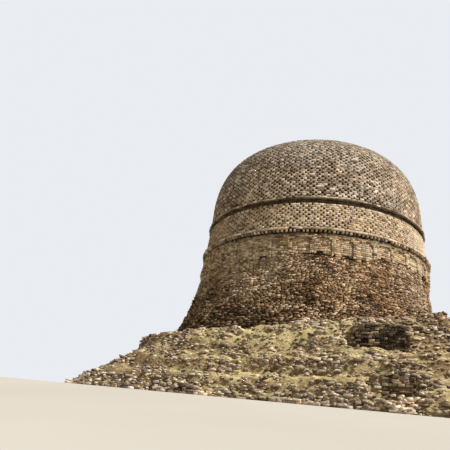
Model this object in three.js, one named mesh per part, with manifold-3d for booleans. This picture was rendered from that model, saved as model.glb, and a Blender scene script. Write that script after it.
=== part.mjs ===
import * as THREE from 'three';
import { mergeVertices } from 'three/addons/utils/BufferGeometryUtils.js';
import Module from 'manifold-3d';

// A ruined stupa of schist slabs: a worn square podium of earth and stone, a drum that has lost its
// lower facing, a band of pilasters under a cornice on modillions, a string course, and a blunt dome
// of diaper masonry.
// Millimetres, +Z up. The origin is on the dome's axis at the podium's foot, and its front looks to -Y.
// An azimuth is in degrees, 0 at the front (-Y) and 90 at the right side (+X).

// Podium
const PODIUM_HALF = 18900;
const BED_TOP = 4800;
const BED_RADIUS = 14500;
const LIP_LOWEST = 5050;
const LIP_RISE = 1700;
const LIP_HIGHEST_AT = 60;
const BANK_FALL = 160;
const BANK_CLEARANCE = 130;
const FOOT_WALL_THICKNESS = 620;
const FOOT_WALL_LENGTH = 26400;
const FOOT_WALL_HEIGHT = 780;

// Drum
const CORE_RADIUS = 10470;
const RING_INNER = 10500;
const RUBBLE_RADIUS = 11450;
const RUBBLE_TOP = 12300;
const RUBBLE_FLARE = 1750;
const RUBBLE_FLARE_SWING = 850;
const RUBBLE_FLARE_POWER = 1.7;
const RUBBLE_LEAN = 250;
const STEEPEST_AT = 105;
const PANEL_RADIUS = 11580;
const PILASTER_COUNT = 40;
const PILASTER_WIDTH = 350;
const PILASTER_PROUD = 90;
const FIRST_PILASTER = 7;
const CAP_WIDTH = 760;
const CAP_BOTTOM = 13520;
const ARCHITRAVE_BOTTOM = 13660;
const ARCHITRAVE_RADIUS = 11700;
const CORNICE_BOTTOM = 14050;
const MODILLIONS_PER_BAY = 5;
const MODILLION_WIDTH = 190;
const MODILLION_RADIUS = 11780;
const MODILLION_BACK = 11580;
const SLAB_BOTTOM = 14350;
const SLAB_RADIUS = 11840;
const UPPER_WALL_BOTTOM = 14500;
const UPPER_WALL_RADIUS_BOTTOM = 11550;
const UPPER_WALL_RADIUS_TOP = 11330;
const FRIEZE_BOTTOM = 17030;
const FRIEZE_RADIUS = 11230;
const STRING_BOTTOM = 17420;
const STRING_RADIUS = 11480;

// Dome
const DOME_BOTTOM = 17600;
const DOME_RADIUS = 11270;
const DOME_HEIGHT = 9350;
const DOME_BLUNTNESS = 3.17;
const DOME_SHELL = 1280;
const CROWN_RADIUS = 3000;

// Where pieces meet they keep a hair of clearance.
const GAP = 0.3;
const SEAM = THREE.MathUtils.radToDeg(GAP / 2 / RING_INNER);
const EDGE = 0.04;

const QUADRANTS = [
  { name: 'front', azimuth: 0 },
  { name: 'right', azimuth: 90 },
  { name: 'back', azimuth: 180 },
  { name: 'left', azimuth: 270 },
];
const HALF_QUADRANT = 45;
const BAY = 360 / PILASTER_COUNT;

// The podium's slope from the lip to the foot, as [distance from the axis square to the face,
// share of the lip's height], and the radii of the rounder mound that a worn corner has become,
// at the same heights.
const SLOPE = [
  [14800, 1],
  [15550, 0.8],
  [15950, 0.62],
  [16650, 0.51],
  [16950, 0.34],
  [17650, 0.26],
  [17950, 0.12],
  [18450, 0],
];
const WORN_RADII = [14900, 16300, 17600, 18700, 19800, 20700, 21600, 22600];

// How far each corner has worn to the mound, from 0 to 1, by the azimuth of the corner.
const CORNER_WEAR = { 45: 0.45, 135: 0.6, 225: 0.75, 315: 1 };

// The broken lower edge of the facing, as [azimuth where a stretch starts, height of its underside].
const BROKEN_EDGE = [
  [-60, 12620],
  [-48, 12540],
  [-33, 12300],
  [-24, 11950],
  [-14, 11700],
  [-6, 11880],
  [2, 12020],
  [8, 12110],
  [24, 11990],
  [32, 11920],
  [40, 12130],
  [47, 12370],
  [62, 12440],
  [95, 12150],
  [108, 11820],
  [121, 11980],
  [139, 12400],
  [154, 12220],
  [169, 11900],
  [186, 11760],
  [203, 12080],
  [219, 12480],
  [237, 12150],
  [254, 11850],
  [271, 12260],
  [285, 12500],
];

// Stretches of the podium's old coursed wall that stand bare in the slope:
// which side, centre along the side, length, face and back distance from the axis, underside and top.
const BARE_WALLS = [
  {
    name: 'bare_wall_front_upper', side: 0, along: 8950, length: 3300,
    face: 15000, back: 14500, low: 3850, high: 5600,
  },
  {
    name: 'bare_wall_front_lower', side: 0, along: 10250, length: 1900,
    face: 16900, back: 16400, low: 650, high: 2200,
  },
  {
    name: 'bare_wall_right', side: 1, along: -4200, length: 3400,
    face: 15750, back: 15250, low: 3050, high: 4350,
  },
  {
    name: 'bare_wall_back', side: 2, along: 2600, length: 3500,
    face: 15750, back: 15250, low: 2700, high: 3950,
  },
  {
    name: 'bare_wall_left', side: 3, along: -1500, length: 3200,
    face: 17150, back: 16650, low: 850, high: 1900,
  },
];
const NICHE_DEPTH = 1400;

// Materials
function stone(name, color, roughness) {
  return new THREE.MeshStandardMaterial({ name, color, roughness, metalness: 0 });
}

const EARTH = stone('earth_and_rubble', 0xb79a6b, 1);
const OLD_WALL = stone('bare_coursed_stone', 0x7d6b52, 0.95);
const CORE = stone('rubble_core', 0x8a6f50, 1);
const RUBBLE = stone('spalled_rubble', 0x9c7650, 1);
const FACING = stone('thin_slab_facing', 0xc29c6c, 0.9);
const CORNICE = stone('schist_slabs', 0xa8967a, 0.85);
const DIAPER = stone('diaper_masonry', 0xbfa076, 0.9);
const DOME_STONE = stone('dome_masonry', 0xb5a188, 0.9);

const wasm = await Module();
wasm.setup();

function radians(degrees) {
  return THREE.MathUtils.degToRad(degrees);
}

// The point at a radius, azimuth and height.
function polar(radius, azimuth, height) {
  const a = radians(azimuth);
  return [radius * Math.sin(a), -radius * Math.cos(a), height];
}

// A smooth ripple between -1 and 1 that closes on itself round the axis.
function ripple(azimuth, height, seed) {
  const a = radians(azimuth);
  const h = height / 1000;
  return 0.45 * Math.sin(9 * a + 1.7 * h + seed)
    + 0.35 * Math.sin(23 * a - 2.9 * h + 2 * seed)
    + 0.2 * Math.sin(41 * a + 4.3 * h + 3 * seed);
}

function fromTriangles(positions, triangles) {
  const geometry = new THREE.BufferGeometry();
  geometry.setAttribute('position', new THREE.Float32BufferAttribute(positions, 3));
  geometry.setIndex(triangles);
  return geometry;
}

// Sweeps a closed section of [radius, height] corners, which may change with the azimuth, through
// a list of azimuths.
function sweep(sectionAt, azimuths) {
  const positions = [];
  const triangles = [];
  for (const azimuth of azimuths) {
    for (const [radius, height] of sectionAt(azimuth)) {
      positions.push(...polar(radius, azimuth, height));
    }
  }
  const corners = sectionAt(azimuths[0]).length;
  for (let i = 0; i + 1 < azimuths.length; i++) {
    for (let j = 0; j < corners; j++) {
      const a = i * corners + j;
      const b = i * corners + (j + 1) % corners;
      triangles.push(a, a + corners, b, b, a + corners, b + corners);
    }
  }
  addCap(triangles, sectionAt(azimuths[0]), 0, false);
  addCap(triangles, sectionAt(azimuths.at(-1)), (azimuths.length - 1) * corners, true);
  return fromTriangles(positions, triangles);
}

// Closes one end of a sweep. The section's corners run anticlockwise, with the radius to the right
// and the height up.
function addCap(triangles, section, first, atEnd) {
  const outline = section.map(([radius, height]) => new THREE.Vector2(radius, height));
  for (const [a, b, c] of THREE.ShapeUtils.triangulateShape(outline, [])) {
    const area = THREE.ShapeUtils.area([outline[a], outline[b], outline[c]]);
    const forward = (area > 0) !== atEnd;
    triangles.push(first + a, first + (forward ? b : c), first + (forward ? c : b));
  }
}

// The azimuths of one quadrant in even steps, with a list of further ones between them.
function azimuthsOf(quadrant, step, further = []) {
  const start = quadrant.azimuth - HALF_QUADRANT + SEAM;
  const end = quadrant.azimuth + HALF_QUADRANT - SEAM;
  const even = [];
  for (let a = quadrant.azimuth - HALF_QUADRANT + step; a < end; a += step) {
    even.push(a);
  }
  const between = further.filter((a) => a > start && a < end);
  const clear = even.filter((a) => between.every((b) => Math.abs(a - b) > EDGE));
  return [start, ...clear, ...between, end].sort((a, b) => a - b);
}

// The stretches of the broken edge, with azimuths from 0 up.
const wrap = (azimuth) => ((azimuth % 360) + 360) % 360;
const edgeStretches = BROKEN_EDGE
  .map(([azimuth, height]) => ({ azimuth: wrap(azimuth), height }))
  .sort((a, b) => a.azimuth - b.azimuth);

// The height of the facing's underside, which steps within EDGE degrees at the start of each stretch.
function brokenEdge(azimuth) {
  const a = wrap(azimuth);
  let height = edgeStretches.at(-1).height;
  for (const stretch of edgeStretches) {
    if (a >= stretch.azimuth) {
      height = stretch.height;
    }
  }
  return height;
}

// The azimuths at some offsets from each step in the broken edge, within one quadrant.
function edgeSteps(quadrant, offsets) {
  const steps = [];
  for (const stretch of edgeStretches) {
    for (const turn of [-360, 0, 360]) {
      steps.push(...offsets.map((offset) => stretch.azimuth + turn + offset));
    }
  }
  return steps.filter((a) => Math.abs(a - quadrant.azimuth) < HALF_QUADRANT);
}

const FACING_STEPS = [-EDGE, 0];
const RUBBLE_STEPS = [-3 * EDGE, -2 * EDGE, EDGE, 2 * EDGE];

// A worn corner: how far the slope at this azimuth has gone from the square to the round mound.
function wearAt(azimuth) {
  const corner = Math.round((wrap(azimuth) - HALF_QUADRANT) / 90) * 90 + HALF_QUADRANT;
  const nearness = 1 - Math.abs(wrap(azimuth) - corner) / HALF_QUADRANT;
  return CORNER_WEAR[wrap(corner)] * THREE.MathUtils.smoothstep(nearness, 0.05, 0.8);
}

// The height of the podium's lip, which stands highest at the front right.
function lipHeight(azimuth) {
  return LIP_LOWEST + LIP_RISE * Math.max(0, Math.cos(radians(azimuth - LIP_HIGHEST_AT))) ** 3;
}

// One side of the podium: earth and rubble that have slipped to a slope in three uneven steps.
// Above the bed it reaches in to the drum's foot as a bank.
function podiumSide(quadrant) {
  const section = (azimuth) => {
    const off = radians(azimuth - quadrant.azimuth);
    const wear = wearAt(azimuth);
    const lip = lipHeight(azimuth);
    const slope = SLOPE.map(([distance, share], i) => {
      const atFoot = i === SLOPE.length - 1;
      const height = lip * share;
      const loose = atFoot ? 0 : 130 * ripple(azimuth, height, 0.7) - 20;
      const square = (distance + loose) / Math.cos(off);
      const round = Math.min(WORN_RADII[i] + loose, square);
      const slump = atFoot ? 0 : 70 * ripple(azimuth, height, 2.9) - 20;
      return [THREE.MathUtils.lerp(square, round, wear), height + slump];
    });
    const bankTop = lip + BANK_FALL;
    return [
      [BED_RADIUS, 0],
      ...slope.reverse(),
      [rubbleRadius(azimuth, bankTop) + BANK_CLEARANCE, bankTop],
      [rubbleRadius(azimuth, BED_TOP) + BANK_CLEARANCE, BED_TOP + GAP],
      [BED_RADIUS, BED_TOP + GAP],
    ];
  };
  return sweep(section, azimuthsOf(quadrant, 3));
}

// A box about its middle, grown on all sides by a clearance.
function box(length, depth, height, clearance) {
  return new THREE.BoxGeometry(length + 2 * clearance, depth + 2 * clearance, height + 2 * clearance);
}

// A solid for cutting and joining, from any closed mesh.
function solidOf(geometry) {
  const bare = geometry.clone();
  bare.deleteAttribute('normal');
  bare.deleteAttribute('uv');
  const merged = mergeVertices(bare, 0.01);
  return new wasm.Manifold(new wasm.Mesh({
    numProp: 3,
    vertProperties: new Float32Array(merged.attributes.position.array),
    triVerts: new Uint32Array(merged.index.array),
  }));
}

function geometryOf(solid) {
  const mesh = solid.getMesh();
  return fromTriangles(Array.from(mesh.vertProperties), Array.from(mesh.triVerts));
}

// A bare wall's block, grown on all sides by a clearance, in place on its side of the podium.
function bareWallBlock(wall, clearance, outward) {
  const depth = wall.face - wall.back + outward;
  const geometry = box(wall.length, depth, wall.high - wall.low, clearance);
  geometry.translate(wall.along, -(wall.back + depth / 2), (wall.low + wall.high) / 2);
  geometry.rotateZ(radians(90 * wall.side));
  return geometry;
}

// The podium's side with the niches in which its bare walls stand, and room for the low wall at its foot.
function podiumSideCut(quadrant, side) {
  let solid = solidOf(podiumSide(quadrant));
  for (const wall of BARE_WALLS.filter((w) => w.side === side)) {
    solid = solid.subtract(solidOf(bareWallBlock(wall, GAP, NICHE_DEPTH)));
  }
  return geometryOf(solid.subtract(solidOf(footWall(side, GAP))));
}

// The low wall at the foot of a side, the lowest courses that still stand.
function footWall(side, clearance) {
  const geometry = box(FOOT_WALL_LENGTH, FOOT_WALL_THICKNESS, FOOT_WALL_HEIGHT, clearance);
  geometry.translate(0, -PODIUM_HALF + FOOT_WALL_THICKNESS / 2, FOOT_WALL_HEIGHT / 2);
  geometry.rotateZ(radians(90 * side));
  return geometry;
}

// The radius of the spalled rubble, which flares to the drum's foot, least at the right and most at the left.
function rubbleRadius(azimuth, height) {
  const side = Math.cos(radians(azimuth - STEEPEST_AT));
  const drop = Math.max(RUBBLE_TOP - height, 0) / (RUBBLE_TOP - BED_TOP);
  const flare = (RUBBLE_FLARE - RUBBLE_FLARE_SWING * side) * drop ** RUBBLE_FLARE_POWER;
  return RUBBLE_RADIUS + RUBBLE_LEAN * Math.max(-side, 0) + flare + 90 * ripple(azimuth, height, 1.3);
}

function rubbleBand(quadrant) {
  const section = (azimuth) => {
    const beside = [-2 * EDGE, 0, 2 * EDGE].map((offset) => brokenEdge(azimuth + offset));
    const top = Math.min(...beside) - GAP;
    const levels = [0, 0.25, 0.5, 0.75, 1].map((share) => THREE.MathUtils.lerp(BED_TOP + GAP, top, share));
    return [
      [RING_INNER, levels[0]],
      ...levels.map((height) => [rubbleRadius(azimuth, height), height]),
      [RING_INNER, top],
    ];
  };
  return sweep(section, azimuthsOf(quadrant, 5, edgeSteps(quadrant, RUBBLE_STEPS)));
}

// The corner azimuths of evenly spaced teeth in one quadrant, each tooth as its left and right edge.
function teeth(quadrant, first, pitch, width, radius) {
  const half = THREE.MathUtils.radToDeg(width / 2 / radius);
  const list = [];
  for (let centre = first; centre < first + 720; centre += pitch) {
    const azimuth = centre - 360;
    if (Math.abs(azimuth - quadrant.azimuth) < HALF_QUADRANT - half) {
      list.push([azimuth - half, azimuth + half]);
    }
  }
  return list;
}

// A ring quadrant whose outline in plan has teeth on the outside.
function toothedRing(quadrant, wall, proud, edges, low, high, step) {
  const outline = [];
  const at = (radius, azimuth) => {
    const [x, y] = polar(radius, azimuth, 0);
    outline.push(new THREE.Vector2(x, y));
  };
  const inTooth = (a) => edges.some(([left, right]) => a > left - EDGE && a < right + EDGE);
  const plain = azimuthsOf(quadrant, step).filter((a) => !inTooth(a)).map((a) => [a]);
  for (const stop of [...plain, ...edges].sort((a, b) => a[0] - b[0])) {
    if (stop.length === 1) {
      at(wall, stop[0]);
    } else {
      at(wall, stop[0]);
      at(proud, stop[0]);
      at(proud, stop[1]);
      at(wall, stop[1]);
    }
  }
  for (const azimuth of azimuthsOf(quadrant, step).reverse()) {
    at(RING_INNER, azimuth);
  }
  const depth = high - low;
  const geometry = new THREE.ExtrudeGeometry(new THREE.Shape(outline), { depth, bevelEnabled: false });
  geometry.translate(0, 0, low);
  return geometry;
}

// A plain ring quadrant between two radii, which may lean.
function plainRing(quadrant, low, high, radiusLow, radiusHigh, step = 5) {
  const section = () => [[RING_INNER, low], [radiusLow, low], [radiusHigh, high], [RING_INNER, high]];
  return sweep(section, azimuthsOf(quadrant, step));
}

// The facing below the architrave: thin slabs with a pilaster at each bay, which spread to bracket caps,
// down to the broken edge.
function panelBand(quadrant) {
  const pilasters = teeth(quadrant, FIRST_PILASTER, BAY, PILASTER_WIDTH, PANEL_RADIUS);
  const caps = teeth(quadrant, FIRST_PILASTER, BAY, CAP_WIDTH, PANEL_RADIUS);
  const lowest = Math.min(...BROKEN_EDGE.map(([, height]) => height)) - 100;
  const highest = Math.max(...BROKEN_EDGE.map(([, height]) => height)) + 50;
  const proud = PANEL_RADIUS + PILASTER_PROUD;
  const top = ARCHITRAVE_BOTTOM - GAP;
  const shaft = toothedRing(quadrant, PANEL_RADIUS, proud, pilasters, lowest, CAP_BOTTOM, BAY / 2);
  const cap = toothedRing(quadrant, PANEL_RADIUS, proud, caps, CAP_BOTTOM, top, BAY / 2);
  const lost = (azimuth) => {
    const inside = RING_INNER - 200;
    const outside = PANEL_RADIUS + 400;
    const low = lowest - 200;
    const high = Math.min(brokenEdge(azimuth), highest);
    return [[inside, low], [outside, low], [outside, high], [inside, high]];
  };
  const wide = [
    quadrant.azimuth - HALF_QUADRANT - 0.5,
    ...azimuthsOf(quadrant, 5, edgeSteps(quadrant, FACING_STEPS)).slice(1, -1),
    quadrant.azimuth + HALF_QUADRANT + 0.5,
  ];
  return geometryOf(solidOf(shaft).add(solidOf(cap)).subtract(solidOf(sweep(lost, wide))));
}

// The cornice: a row of short modillions that carries a course of slabs.
function cornice(quadrant) {
  const pitch = BAY / MODILLIONS_PER_BAY;
  const ends = teeth(quadrant, FIRST_PILASTER, pitch, MODILLION_WIDTH, MODILLION_RADIUS);
  const row = toothedRing(quadrant, MODILLION_BACK, MODILLION_RADIUS, ends, CORNICE_BOTTOM, SLAB_BOTTOM, 5);
  const slabs = plainRing(quadrant, SLAB_BOTTOM, UPPER_WALL_BOTTOM - GAP, SLAB_RADIUS, SLAB_RADIUS);
  return geometryOf(solidOf(row).add(solidOf(slabs)));
}

function upperWall(quadrant) {
  const top = FRIEZE_BOTTOM - GAP;
  return plainRing(quadrant, UPPER_WALL_BOTTOM, top, UPPER_WALL_RADIUS_BOTTOM, UPPER_WALL_RADIUS_TOP);
}

// The string course: a course of projecting slabs over a frieze that is set back.
function stringCourse(quadrant) {
  const top = DOME_BOTTOM - GAP;
  const section = () => [
    [RING_INNER, FRIEZE_BOTTOM],
    [FRIEZE_RADIUS, FRIEZE_BOTTOM],
    [FRIEZE_RADIUS, STRING_BOTTOM],
    [STRING_RADIUS, STRING_BOTTOM],
    [STRING_RADIUS, top],
    [RING_INNER, top],
  ];
  return sweep(section, azimuthsOf(quadrant, 5));
}

// The dome's outline as [radius, height], from its foot to a given radius.
function domeProfile(radius, height, bluntness, innermost, count) {
  const points = [];
  const last = Math.acos((innermost / radius) ** (bluntness / 2));
  for (let i = 0; i <= count; i++) {
    const t = last * i / count;
    points.push([
      radius * Math.cos(t) ** (2 / bluntness),
      DOME_BOTTOM + height * Math.sin(t) ** (2 / bluntness),
    ]);
  }
  return points;
}

const OUTER_DOME = domeProfile(DOME_RADIUS, DOME_HEIGHT, DOME_BLUNTNESS, CROWN_RADIUS, 14);
const INNER_DOME = domeProfile(RING_INNER, DOME_HEIGHT - DOME_SHELL, DOME_BLUNTNESS, CROWN_RADIUS, 6);

function domeShell(quadrant) {
  const section = () => [...OUTER_DOME, ...[...INNER_DOME].reverse()];
  return sweep(section, azimuthsOf(quadrant, 5));
}

// A solid of revolution, from [radius, height] points that start and end on the axis.
function turned(points, segments) {
  const profile = points.map(([radius, height]) => new THREE.Vector2(radius, height));
  const geometry = new THREE.LatheGeometry(profile, segments);
  geometry.rotateX(Math.PI / 2);
  geometry.deleteAttribute('normal');
  geometry.deleteAttribute('uv');
  return geometryOf(solidOf(geometry));
}

function domeCrown() {
  const rim = CROWN_RADIUS - GAP;
  const low = INNER_DOME.at(-1)[1];
  const high = OUTER_DOME.at(-1)[1];
  const top = DOME_BOTTOM + DOME_HEIGHT;
  return turned([[0, low], [rim, low], [rim, high], [rim * 0.5, top - 6], [0, top]], 72);
}

// The solid middle of drum and dome.
function drumCore() {
  const shrink = CORE_RADIUS / RING_INNER;
  const shoulder = INNER_DOME.map(([radius, height]) => [radius * shrink, height - (1 - shrink) * radius]);
  const low = BED_TOP + GAP;
  const top = INNER_DOME.at(-1)[1] - GAP;
  return turned([[0, low], [CORE_RADIUS, low], ...shoulder, [0, top]], 36);
}

const stupa = new THREE.Group();
stupa.name = 'stupa';

function place(name, geometry, material) {
  const mesh = new THREE.Mesh(geometry, material);
  mesh.name = name;
  stupa.add(mesh);
  return mesh;
}

const bedRim = BED_RADIUS - GAP;
place('podium_bed', turned([[0, 0], [bedRim, 0], [bedRim, BED_TOP], [0, BED_TOP]], 120), EARTH);
QUADRANTS.forEach((quadrant, side) => {
  place(`podium_${quadrant.name}`, podiumSideCut(quadrant, side), EARTH);
  place(`foot_wall_${quadrant.name}`, footWall(side, 0), OLD_WALL);
});
for (const wall of BARE_WALLS) {
  place(wall.name, bareWallBlock(wall, 0, 0), OLD_WALL);
}

place('drum_core', drumCore(), CORE);
for (const quadrant of QUADRANTS) {
  place(`rubble_band_${quadrant.name}`, rubbleBand(quadrant), RUBBLE);
  place(`panel_band_${quadrant.name}`, panelBand(quadrant), FACING);
  place(
    `architrave_${quadrant.name}`,
    plainRing(quadrant, ARCHITRAVE_BOTTOM, CORNICE_BOTTOM - GAP, ARCHITRAVE_RADIUS, ARCHITRAVE_RADIUS),
    CORNICE);
  place(`cornice_${quadrant.name}`, cornice(quadrant), CORNICE);
  place(`upper_wall_${quadrant.name}`, upperWall(quadrant), DIAPER);
  place(`string_course_${quadrant.name}`, stringCourse(quadrant), CORNICE);
  place(`dome_${quadrant.name}`, domeShell(quadrant), DOME_STONE);
}
place('dome_crown', domeCrown(), DOME_STONE);

export default stupa;
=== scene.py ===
from collections import namedtuple
import math

import bpy
import numpy as np
from mathutils import Matrix, Vector
from mathutils.bvhtree import BVHTree


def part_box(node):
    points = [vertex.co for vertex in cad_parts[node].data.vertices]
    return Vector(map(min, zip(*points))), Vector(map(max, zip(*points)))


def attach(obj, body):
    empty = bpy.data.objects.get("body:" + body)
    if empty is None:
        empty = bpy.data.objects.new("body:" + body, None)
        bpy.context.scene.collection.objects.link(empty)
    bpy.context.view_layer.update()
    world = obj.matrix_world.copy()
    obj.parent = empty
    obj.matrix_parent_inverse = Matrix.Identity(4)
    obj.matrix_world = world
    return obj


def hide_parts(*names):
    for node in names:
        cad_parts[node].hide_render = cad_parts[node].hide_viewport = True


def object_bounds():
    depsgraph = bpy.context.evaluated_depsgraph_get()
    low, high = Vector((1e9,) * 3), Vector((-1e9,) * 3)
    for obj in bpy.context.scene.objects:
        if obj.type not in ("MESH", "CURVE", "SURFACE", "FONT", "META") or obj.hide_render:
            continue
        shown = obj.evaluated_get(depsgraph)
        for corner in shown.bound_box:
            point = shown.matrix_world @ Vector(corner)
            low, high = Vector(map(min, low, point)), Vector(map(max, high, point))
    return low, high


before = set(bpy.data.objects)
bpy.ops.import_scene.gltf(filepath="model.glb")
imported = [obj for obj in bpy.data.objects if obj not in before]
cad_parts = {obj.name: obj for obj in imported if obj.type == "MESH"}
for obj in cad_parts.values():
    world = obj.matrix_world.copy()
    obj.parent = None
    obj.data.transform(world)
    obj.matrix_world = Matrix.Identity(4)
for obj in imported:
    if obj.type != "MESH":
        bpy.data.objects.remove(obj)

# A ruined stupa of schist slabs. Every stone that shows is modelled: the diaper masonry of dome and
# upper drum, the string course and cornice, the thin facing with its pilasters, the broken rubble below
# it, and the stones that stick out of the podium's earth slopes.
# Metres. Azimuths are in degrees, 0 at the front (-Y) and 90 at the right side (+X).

CAD_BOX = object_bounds()
QUADRANTS = ("front", "right", "back", "left")


def reach(stem):
    """The radius and the foot of a ring, from its CAD node at the front."""
    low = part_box(f"{stem}_front")[0]
    return -low[1], low[2]


# Driving dimensions, from the frame
DOME_RADIUS, DOME_FOOT = reach("dome")
STRING_RADIUS, FRIEZE_LOW = reach("string_course")
WALL_RADIUS, WALL_LOW = reach("upper_wall")
CORNICE_RADIUS, CORNICE_LOW = reach("cornice")
ARCHITRAVE_RADIUS, ARCHITRAVE_LOW = reach("architrave")
DRUM_FOOT = reach("rubble_band")[1]
DOME_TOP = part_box("dome_crown")[1][2]
PODIUM_HALF = CAD_BOX[1][0]

# Sizes of the masonry
DOME_BLUNTNESS = 3.17
CORE_RADIUS = 10.5
WALL_BATTER = 0.21
STRING_LOW = DOME_FOOT - 0.18
FRIEZE_RADIUS = STRING_RADIUS - 0.25
PANEL_RADIUS = ARCHITRAVE_RADIUS - 0.12
PILASTER_PROUD = 0.12
PILASTER_WIDTH = 0.35
FIRST_PILASTER = 7.0
BAY = 9.0
CAP_WIDTH = 0.76
CAP_HEIGHT = 0.14
MODILLION_PITCH = BAY / 5
MODILLION_WIDTH = 0.19
MODILLION_LOW = CORNICE_LOW + 0.09
MODILLION_HIGH = CORNICE_LOW + 0.30
COURSE = 0.21
BLOCK_PITCH = 0.52
JOINT_DEPTH = 0.16
LEDGE = 0.62
LEDGE_RELIEF = 0.24
NICHE_SPLAY = 0.8
# Radii at which patches of the rubble and of the slopes are measured
RUBBLE_RADIUS = 12.0
SLOPE_RADIUS = 17.0
# Lumps of the earth as height, seed and breadth
LUMPS = ((0.07, 603, 1.3), (0.05, 604, 0.6), (0.03, 606, 0.35))
# Heaps of stones at the foot of the front as place along it, size and tone
FRONT_HEAPS = (
    (-4.6, 0.7, 0.6), (3.7, 0.5, 0.6), (5.0, 0.6, 0.5), (7.3, 0.5, 0.6), (8.7, 0.5, 0.5),
    (10.65, 0.8, 0.95))

# Rays start this far out, and the side of the stupa away from the sun faces this way; stones are painted
# darker there as painted shade
FAR = 40.0
UP = np.array([0, 0, 1.0])
DOWN = Vector((0, 0, -1))
SHADED_SIDE = np.array([-0.87, -0.5, 0])


def seeded(number):
    return np.random.default_rng(number)


def radial(azimuth):
    """Unit vectors outward at azimuths in degrees."""
    a = np.radians(azimuth)
    return np.stack([np.sin(a), -np.cos(a), np.zeros_like(a)], -1)


def tangent(azimuth):
    """Unit vectors along the wall, towards rising azimuth."""
    a = np.radians(azimuth)
    return np.stack([np.cos(a), np.sin(a), np.zeros_like(a)], -1)


def spot(azimuth, radius, z):
    """Points at azimuths, radii and heights."""
    azimuth, radius, z = np.broadcast_arrays(azimuth, radius, z)
    return radial(azimuth) * radius[..., None] + UP * z[..., None]


def wander(points, seed, size, squash=1.0):
    """A smooth field, mostly between -1 and 1, with swells of about the given size, flatter if squashed."""
    rng = seeded(seed)
    total = np.zeros(points.shape[:-1])
    for _ in range(9):
        way = rng.normal(size=3)
        way /= np.linalg.norm(way)
        way[2] *= squash
        wave = 2 * math.pi / (size * rng.uniform(0.7, 2.2))
        total += np.sin(points @ way * wave + rng.uniform(0, 2 * math.pi))
    return total / 3.4


def azimuth_of(points):
    return np.degrees(np.arctan2(points[:, 0], -points[:, 1]))


def quadrant_of(points):
    """0 front, 1 right, 2 back, 3 left, for each point."""
    return np.floor((azimuth_of(points) + 45) / 90).astype(int) % 4


def span(side, count):
    """Evenly spaced azimuths over one quadrant, a hair short of its neighbours."""
    return np.linspace(90 * side - 45 + 0.01, 90 * side + 45 - 0.01, count)


# Meshes

def placed(name, data):
    """A new object in the scene."""
    thing = bpy.data.objects.new(name, data)
    bpy.context.scene.collection.objects.link(thing)
    return thing


class Solids:
    """Closed solids gathered for one object, with a tone and a hue for each face."""

    def __init__(self):
        self.vertices = []
        self.parts = []
        self.count = 0

    def faces(self, loops, sizes, tones, hues, slot):
        """Faces by the numbers of their corners."""
        self.parts.append((loops, sizes, *(np.broadcast_to(v, len(sizes)) for v in (tones, hues, slot))))

    def add(self, vertices, quads, tones, hues, slot=0, ends=()):
        """Vertices with quads, and any larger faces as lists of corners."""
        self.faces(quads.ravel() + self.count, np.full(len(quads), 4), tones, hues, slot)
        for end in ends:
            self.faces(np.array(end) + self.count, np.array([len(end)]), 0.3, 0.5, slot)
        self.vertices.append(vertices)
        self.count += len(vertices)

    def build(self, name, materials):
        """One object of all that was gathered, kept inside the CAD box."""
        vertices = np.clip(np.concatenate(self.vertices), *CAD_BOX)
        loops, sizes, tones, hues, slots = (np.concatenate(values) for values in zip(*self.parts))
        mesh = bpy.data.meshes.new(name)
        mesh.vertices.add(len(vertices))
        mesh.vertices.foreach_set("co", vertices.astype(np.float32).ravel())
        mesh.loops.add(len(loops))
        mesh.loops.foreach_set("vertex_index", loops.astype(np.int32))
        mesh.polygons.add(len(sizes))
        mesh.polygons.foreach_set("loop_start", (np.cumsum(sizes) - sizes).astype(np.int32))
        mesh.polygons.foreach_set("material_index", slots.astype(np.int32))
        mesh.update(calc_edges=True)
        for label, values in (("tone", tones), ("hue", hues)):
            attribute = mesh.attributes.new(label, "FLOAT", "FACE")
            attribute.data.foreach_set("value", values.astype(np.float32))
        for material in materials:
            mesh.materials.append(material)
        piece = placed(name, mesh)
        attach(piece, "root")
        return piece


RING = np.array([(-1, -1), (1, -1), (1, 1), (-1, 1)])


def ring_quads(rings):
    """Faces of a closed block made of rings of four corners, from its back to its face."""
    quads = [(3, 2, 1, 0)]
    for low in range(0, 4 * (rings - 1), 4):
        for j in range(4):
            k = (j + 1) % 4
            quads.append((low + j, low + k, low + 4 + k, low + 4 + j))
    top = 4 * (rings - 1)
    quads.append((top, top + 1, top + 2, top + 3))
    return np.array(quads)


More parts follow.
